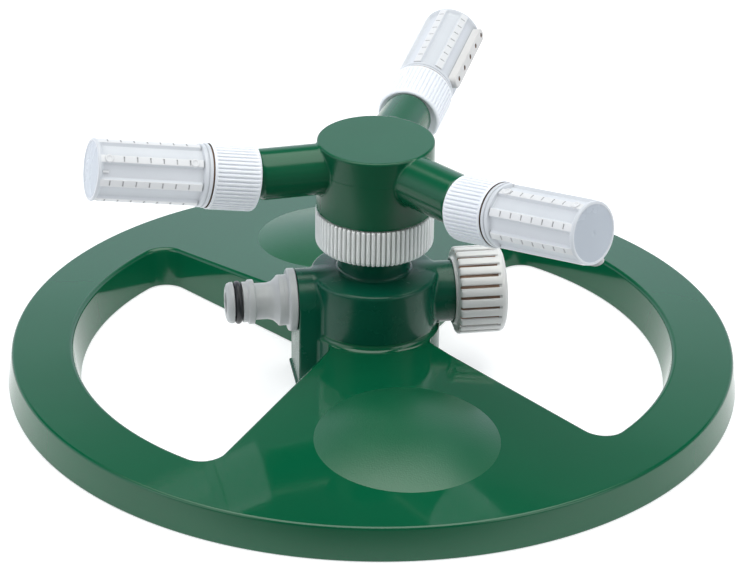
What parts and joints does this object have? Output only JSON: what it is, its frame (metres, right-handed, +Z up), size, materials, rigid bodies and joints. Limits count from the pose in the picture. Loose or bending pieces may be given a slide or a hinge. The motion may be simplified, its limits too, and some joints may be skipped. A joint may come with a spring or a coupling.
{
  "type": "garden sprinkler",
  "caption": "Rotating garden sprinkler: round stand with side openings, upright valve housing with hose nipple and blanking cap, and a spinning hub with swivelling spray barrels on its arms.",
  "frame": {"origin": "centre of the round stand, on the surface that it stands on", "axes": "+Z up along the hub's spin axis; X along the supply pipe, hose nipple at -X and blanking cap at +X; the stand's broad spokes point to -Y and +Y"},
  "size_m": [0.27, 0.27, 0.1055],
  "materials": {
    "stand_green": "glossy moulded dark green, matt on the two round pads",
    "spindle_green": "glossy dark green",
    "hub_green": "satin dark green",
    "fitting_grey": "satin light grey",
    "nut_white": "satin bluish white",
    "barrel_pale": "satin pale blue-grey",
    "jet_bar_white": "satin white",
    "seal_black": "black rubber",
    "slip_ring": "smooth low-friction plastic"
  },
  "bodies": {
    "base": {"base_moulding": "stand_green", "inlet_nipple": "fitting_grey", "nipple_o_ring": "seal_black", "nipple_gasket": "seal_black", "spindle": "spindle_green", "spindle_o_ring": "seal_black"},
    "cap_seal": {"cap_gasket": "seal_black"},
    "cap": {"end_cap": "fitting_grey"},
    "rotor": {"hub": "hub_green", "bearing_bush": "slip_ring", "upper_thrust_washer": "slip_ring"},
    "slip_washer": {"lower_thrust_washer": "slip_ring"},
    "lock_nut": {"hub_nut": "fitting_grey"},
    "swivel_1": {"ball_seat_1": "seal_black"},
    "swivel_2": {"ball_seat_2": "seal_black"},
    "swivel_3": {"ball_seat_3": "seal_black"},
    "clamp_1": {"union_nut_1": "nut_white"},
    "clamp_2": {"union_nut_2": "nut_white"},
    "clamp_3": {"union_nut_3": "nut_white"},
    "head_1": {"head_barrel_1": "barrel_pale", "jet_bar_1": "jet_bar_white"},
    "head_2": {"head_barrel_2": "barrel_pale", "jet_bar_2": "jet_bar_white"},
    "head_3": {"head_barrel_3": "barrel_pale", "jet_bar_3": "jet_bar_white"}
  },
  "joints": [
    {"name": "cap_travel", "type": "slide", "parent": "base", "child": "cap_seal", "axis": [1, 0, 0], "range_m": [0, 0.0146]},
    {"name": "cap_turn", "type": "hinge", "parent": "cap_seal", "child": "cap", "pos_m": [0.039, 0, 0.032], "axis": [1, 0, 0], "range_deg": [0, 2880]},
    {"name": "hub_spin", "type": "hinge", "parent": "base", "child": "rotor", "pos_m": [0, 0, 0.064], "axis": [0, 0, 1], "continuous": true},
    {"name": "lock_nut_travel", "type": "slide", "parent": "rotor", "child": "slip_washer", "axis": [0, 0, -1], "range_m": [0, 0.0081]},
    {"name": "lock_nut_turn", "type": "hinge", "parent": "slip_washer", "child": "lock_nut", "pos_m": [0, 0, 0.06], "axis": [0, 0, -1], "range_deg": [0, 1440]},
    {"name": "tilt_1", "type": "hinge", "parent": "rotor", "child": "swivel_1", "pos_m": [0.03074, -0.04293, 0.0854], "axis": [0.788, 0.6157, 0], "range_deg": [0, 20]},
    {"name": "clamp_turn_1", "type": "hinge", "parent": "swivel_1", "child": "clamp_1", "pos_m": [0.03074, -0.04293, 0.0854], "axis": [-0.6063, 0.776, -0.1736], "range_deg": [0, 90]},
    {"name": "roll_1", "type": "hinge", "parent": "swivel_1", "child": "head_1", "pos_m": [0.03074, -0.04293, 0.0854], "axis": [0.6063, -0.776, 0.1736], "continuous": true},
    {"name": "tilt_2", "type": "hinge", "parent": "rotor", "child": "swivel_2", "pos_m": [0.02181, 0.04808, 0.0854], "axis": [-0.9026, 0.4305, 0], "range_deg": [0, 20]},
    {"name": "clamp_turn_2", "type": "hinge", "parent": "swivel_2", "child": "clamp_2", "pos_m": [0.02181, 0.04808, 0.0854], "axis": [-0.424, -0.8889, -0.1736], "range_deg": [0, 90]},
    {"name": "roll_2", "type": "hinge", "parent": "swivel_2", "child": "head_2", "pos_m": [0.02181, 0.04808, 0.0854], "axis": [0.424, 0.8889, 0.1736], "continuous": true},
    {"name": "tilt_3", "type": "hinge", "parent": "rotor", "child": "swivel_3", "pos_m": [-0.05255, -0.00515, 0.0854], "axis": [0.1288, -0.9917, 0], "range_deg": [0, 20]},
    {"name": "clamp_turn_3", "type": "hinge", "parent": "swivel_3", "child": "clamp_3", "pos_m": [-0.05255, -0.00515, 0.0854], "axis": [0.9766, 0.1268, -0.1736], "range_deg": [0, 90]},
    {"name": "roll_3", "type": "hinge", "parent": "swivel_3", "child": "head_3", "pos_m": [-0.05255, -0.00515, 0.0854], "axis": [-0.9766, -0.1268, 0.1736], "continuous": true}
  ],
  "couplings": [
    {"joint": "cap_travel", "follows": "cap_turn", "m_per_rad": 0.00028871},
    {"joint": "lock_nut_travel", "follows": "lock_nut_turn", "m_per_rad": 0.00031831}
  ]
}
